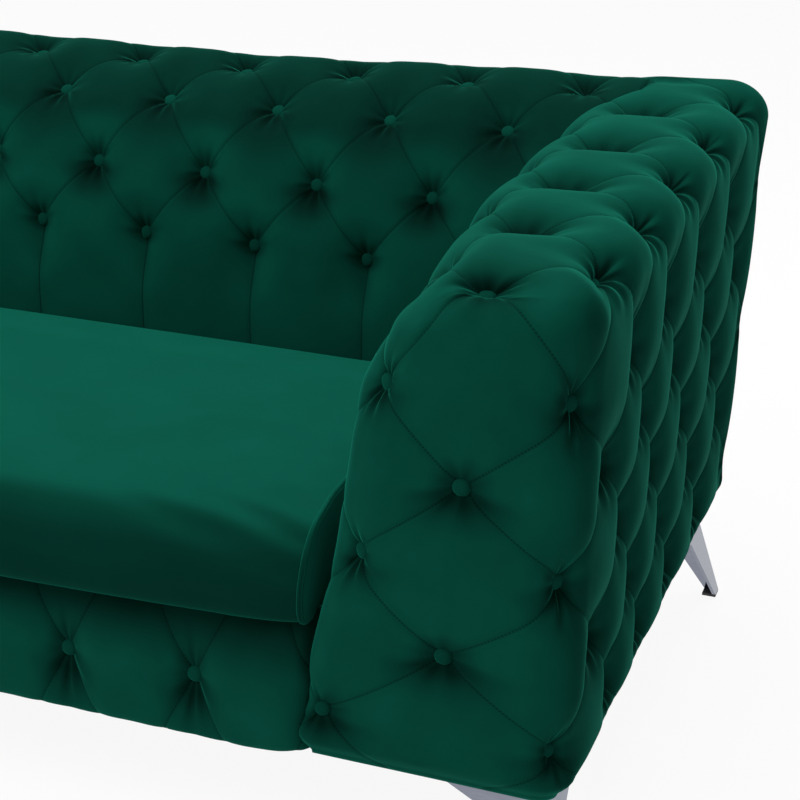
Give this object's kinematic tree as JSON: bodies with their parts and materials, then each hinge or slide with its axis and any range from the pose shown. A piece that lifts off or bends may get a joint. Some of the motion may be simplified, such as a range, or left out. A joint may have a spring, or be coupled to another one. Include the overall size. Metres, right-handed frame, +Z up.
{
  "type": "tufted sofa",
  "caption": "Bench sofa with deep diamond-tufted arms and back at one height, covered buttons, a loose seat cushion and splayed metal corner legs.",
  "frame": {"origin": "on the floor under the middle of the sofa's outline", "axes": "+X along the seat, the front faces -Y, +Z up"},
  "size_m": [2, 0.9, 0.771],
  "materials": {
    "green_velvet": "emerald green velvet over foam",
    "polished_metal": "polished silver plate",
    "zinc_steel": "zinc plated",
    "black_plastic": "moulded, matte",
    "webbing": "elastic webbing",
    "black_cloth": "non-woven cloth",
    "deck_felt": "deck cloth over foam",
    "zip_tape": "coil zip on tape",
    "birch_ply": "bare birch plywood"
  },
  "bodies": {
    "sofa": {"arm_base_left": "birch_ply", "arm_base_right": "birch_ply", "arm_front_board_left": "birch_ply", "arm_front_board_right": "birch_ply", "arm_inner_buttons_left": "green_velvet", "arm_inner_buttons_right": "green_velvet", "arm_inner_pad_left": "green_velvet", "arm_inner_pad_right": "green_velvet", "arm_inner_panel_left": "birch_ply", "arm_inner_panel_right": "birch_ply", "arm_outer_buttons_left": "green_velvet", "arm_outer_buttons_right": "green_velvet", "arm_outer_pad_left": "green_velvet", "arm_outer_pad_right": "green_velvet", "arm_outer_panel_left": "birch_ply", "arm_outer_panel_right": "birch_ply", "arm_rear_post_left": "birch_ply", "arm_rear_post_right": "birch_ply", "arm_tie_bolts": "zinc_steel", "arm_top_board_left": "birch_ply", "arm_top_board_right": "birch_ply", "arm_wrap_buttons_left": "green_velvet", "arm_wrap_buttons_right": "green_velvet", "arm_wrap_pad_left": "green_velvet", "arm_wrap_pad_right": "green_velvet", "back_buttons": "green_velvet", "back_pad": "green_velvet", "back_panel": "birch_ply", "back_rail": "birch_ply", "back_ribs": "birch_ply", "back_top_rails": "birch_ply", "corner_blocks": "birch_ply", "deck_pad": "deck_felt", "dust_cover": "black_cloth", "front_border_buttons": "green_velvet", "front_border_pad": "green_velvet", "front_rail": "birch_ply", "leg_front_left": "polished_metal", "leg_front_right": "polished_metal", "leg_glides": "black_plastic", "leg_rear_left": "polished_metal", "leg_rear_right": "polished_metal", "leg_screws": "zinc_steel", "platform_cloth": "black_cloth", "rear_cover": "green_velvet", "seat_braces": "birch_ply", "seat_cross_straps": "webbing", "seat_straps": "webbing", "side_rail_left": "birch_ply", "side_rail_right": "birch_ply"},
    "cushion": {"seat_cushion": "green_velvet", "cushion_zip": "zip_tape"}
  },
  "joints": [
    {"name": "cushion_lift", "type": "slide", "parent": "sofa", "child": "cushion", "axis": [0, 0, 1], "range_m": [0, 0.35]}
  ]
}
